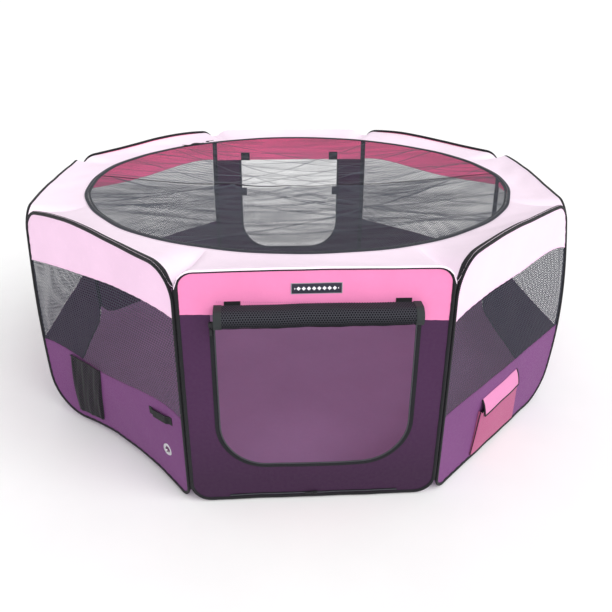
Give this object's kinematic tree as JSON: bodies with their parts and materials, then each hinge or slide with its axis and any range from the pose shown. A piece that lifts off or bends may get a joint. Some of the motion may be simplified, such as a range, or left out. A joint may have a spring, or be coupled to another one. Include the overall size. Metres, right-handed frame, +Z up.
{
  "type": "pet playpen",
  "caption": "Octagonal fold-up fabric pet playpen with wire-framed mesh panels, roll-up mesh doors, a zip-off mesh top and a zipped floor.",
  "frame": {"origin": "middle of the floor sheet's underside", "axes": "+Z up, -Y towards the front door panel, +X to the right seen from the front"},
  "size_m": [1.4636, 1.5696, 0.6172],
  "materials": {
    "spring_wire": "hardened spring steel, satin",
    "binding_tape": "folded black polyester binding, fine ribbed weave",
    "hot_pink_cloth": "coated oxford cloth, plain weave, slight sheen",
    "pale_pink_cloth": "coated oxford cloth, plain weave, slight sheen",
    "purple_cloth": "coated oxford cloth, plain weave",
    "dark_purple_cloth": "coated oxford cloth, plain weave",
    "floor_cloth": "coated oxford cloth, plain weave, matt",
    "black_mesh": "knitted polyester mesh with six-sided holes",
    "zip_tape": "woven zip tape with a moulded coil",
    "webbing": "black woven webbing, matt",
    "zip_slider": "black enamelled die casting",
    "pocket_cloth": "coated oxford cloth, plain weave",
    "flap_cloth": "coated oxford cloth, plain weave",
    "eyelet_metal": "nickel-plated, satin",
    "label_weave": "woven damask label without lettering"
  },
  "bodies": {
    "front_panel": {"front_frame_wire": "spring_wire", "front_binding": "binding_tape", "front_upper_band": "hot_pink_cloth", "front_door_surround": "dark_purple_cloth", "front_door_zip_tape": "zip_tape", "front_door_strap_left": "webbing", "front_door_strap_right": "webbing", "woven_label": "label_weave", "top_ring": "pale_pink_cloth", "top_zip_tape": "zip_tape", "floor_sheet": "floor_cloth"},
    "front_right_panel": {"front_right_frame_wire": "spring_wire", "front_right_binding": "binding_tape", "front_right_upper_band": "pale_pink_cloth", "front_right_window_mesh": "black_mesh", "front_right_lower_band": "purple_cloth", "treat_pocket": "pocket_cloth"},
    "right_panel": {"right_frame_wire": "spring_wire", "right_binding": "binding_tape", "right_upper_band": "pale_pink_cloth", "right_window_mesh": "black_mesh", "right_lower_band": "purple_cloth"},
    "back_right_panel": {"back_right_frame_wire": "spring_wire", "back_right_binding": "binding_tape", "back_right_upper_band": "pale_pink_cloth", "back_right_window_mesh": "black_mesh", "back_right_lower_band": "purple_cloth"},
    "back_panel": {"back_frame_wire": "spring_wire", "back_binding": "binding_tape", "back_upper_band": "hot_pink_cloth", "back_door_surround": "dark_purple_cloth", "back_door_zip_tape": "zip_tape", "back_door_strap_left": "webbing", "back_door_strap_right": "webbing"},
    "back_left_panel": {"back_left_frame_wire": "spring_wire", "back_left_binding": "binding_tape", "back_left_upper_band": "pale_pink_cloth", "back_left_window_mesh": "black_mesh", "back_left_lower_band": "purple_cloth"},
    "left_panel": {"left_frame_wire": "spring_wire", "left_binding": "binding_tape", "left_upper_band": "pale_pink_cloth", "left_window_mesh": "black_mesh", "left_lower_band": "purple_cloth"},
    "front_left_panel": {"front_left_frame_wire": "spring_wire", "front_left_binding": "binding_tape", "front_left_upper_band": "pale_pink_cloth", "front_left_window_mesh": "black_mesh", "front_left_lower_band": "purple_cloth", "mesh_pocket": "black_mesh", "bottle_strap": "webbing", "hose_eyelet": "eyelet_metal"},
    "front_door": {"front_door_roll": "black_mesh"},
    "back_door": {"back_door_roll": "black_mesh"},
    "front_door_zip_slider": {"front_door_slider": "zip_slider"},
    "back_door_zip_slider": {"back_door_slider": "zip_slider"},
    "mesh_top": {"top_mesh": "black_mesh"},
    "top_zip_slider": {"top_slider": "zip_slider"},
    "floor_zip_slider": {"floor_slider": "zip_slider"},
    "pocket_flap": {"treat_pocket_flap": "flap_cloth"}
  },
  "joints": [
    {"name": "pen_fold", "type": "hinge", "parent": "front_panel", "child": "front_right_panel", "pos_m": [0.3, -0.72426, 0.3], "axis": [0, 0, -1], "range_deg": [0, 45]},
    {"name": "fold_right", "type": "hinge", "parent": "front_right_panel", "child": "right_panel", "pos_m": [0.72426, -0.3, 0.3], "axis": [0, 0, 1], "range_deg": [0, 135]},
    {"name": "fold_back_right", "type": "hinge", "parent": "right_panel", "child": "back_right_panel", "pos_m": [0.72426, 0.3, 0.3], "axis": [0, 0, -1], "range_deg": [0, 45]},
    {"name": "fold_back", "type": "hinge", "parent": "back_right_panel", "child": "back_panel", "pos_m": [0.3, 0.72426, 0.3], "axis": [0, 0, -1], "range_deg": [0, 45]},
    {"name": "fold_front_left", "type": "hinge", "parent": "front_panel", "child": "front_left_panel", "pos_m": [-0.3, -0.72426, 0.3], "axis": [0, 0, 1], "range_deg": [0, 45]},
    {"name": "fold_left", "type": "hinge", "parent": "front_left_panel", "child": "left_panel", "pos_m": [-0.72426, -0.3, 0.3], "axis": [0, 0, 1], "range_deg": [0, 45]},
    {"name": "fold_back_left", "type": "hinge", "parent": "left_panel", "child": "back_left_panel", "pos_m": [-0.72426, 0.3, 0.3], "axis": [0, 0, -1], "range_deg": [0, 135]},
    {"name": "front_door_lift", "type": "hinge", "parent": "front_panel", "child": "front_door", "pos_m": [0, -0.73076, 0.53], "axis": [-1, 0, 0], "range_deg": [0, 60]},
    {"name": "back_door_lift", "type": "hinge", "parent": "back_panel", "child": "back_door", "pos_m": [0, 0.73076, 0.53], "axis": [1, 0, 0], "range_deg": [0, 60]},
    {"name": "front_door_zip", "type": "slide", "parent": "front_panel", "child": "front_door_zip_slider", "axis": [0, 0, -1], "range_m": [0, 0.24]},
    {"name": "back_door_zip", "type": "slide", "parent": "back_panel", "child": "back_door_zip_slider", "axis": [0, 0, -1], "range_m": [0, 0.23]},
    {"name": "top_lift", "type": "slide", "parent": "front_panel", "child": "mesh_top", "axis": [0, 0, 1], "range_m": [0, 0.3]},
    {"name": "top_zip", "type": "hinge", "parent": "front_panel", "child": "top_zip_slider", "pos_m": [0, 0, 0.613], "axis": [0, 0, 1], "range_deg": [0, 350]},
    {"name": "floor_zip", "type": "slide", "parent": "front_panel", "child": "floor_zip_slider", "axis": [1, 0, 0], "range_m": [-0.19, 0.19]},
    {"name": "pocket_flap_hinge", "type": "hinge", "parent": "front_right_panel", "child": "pocket_flap", "pos_m": [0.50152, -0.52981, 0.185], "axis": [-0.7071, -0.7071, 0], "range_deg": [0, 105]}
  ],
  "couplings": [
    {"joint": "fold_right", "follows": "pen_fold", "ratio": 3},
    {"joint": "fold_back_right", "follows": "pen_fold", "ratio": 1},
    {"joint": "fold_back", "follows": "pen_fold", "ratio": 1},
    {"joint": "fold_front_left", "follows": "pen_fold", "ratio": 1},
    {"joint": "fold_left", "follows": "pen_fold", "ratio": 1},
    {"joint": "fold_back_left", "follows": "pen_fold", "ratio": 3}
  ]
}
